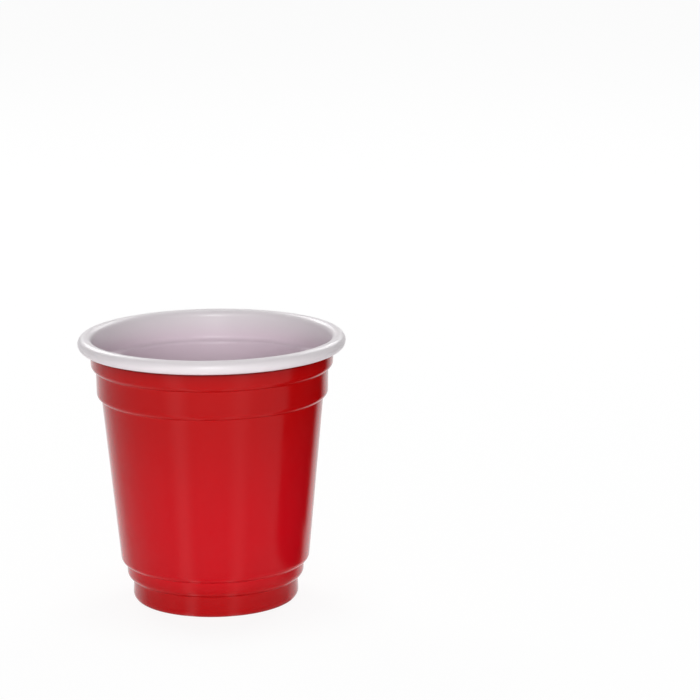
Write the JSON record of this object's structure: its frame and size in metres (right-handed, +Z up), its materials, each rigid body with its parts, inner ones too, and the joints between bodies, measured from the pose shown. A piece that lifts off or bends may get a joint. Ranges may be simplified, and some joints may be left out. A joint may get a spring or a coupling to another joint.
{
  "type": "shot cup",
  "caption": "Small stackable round cup with a rolled lip, a stepped collar and foot, and a tapered wall, red outside and white inside.",
  "frame": {"origin": "centre of the foot, on the plane that the cup stands on", "axes": "+Z up along the cup's axis, from the foot to the mouth"},
  "size_m": [0.051, 0.051, 0.0517],
  "materials": {
    "red_outside": "smooth glossy opaque red polystyrene, the outer layer of the sheet",
    "white_inside": "smooth glossy white polystyrene, the inner layer of the sheet, which also covers the rolled lip"
  },
  "bodies": {
    "root": {"cup": "red_outside"}
  },
  "joints": []
}
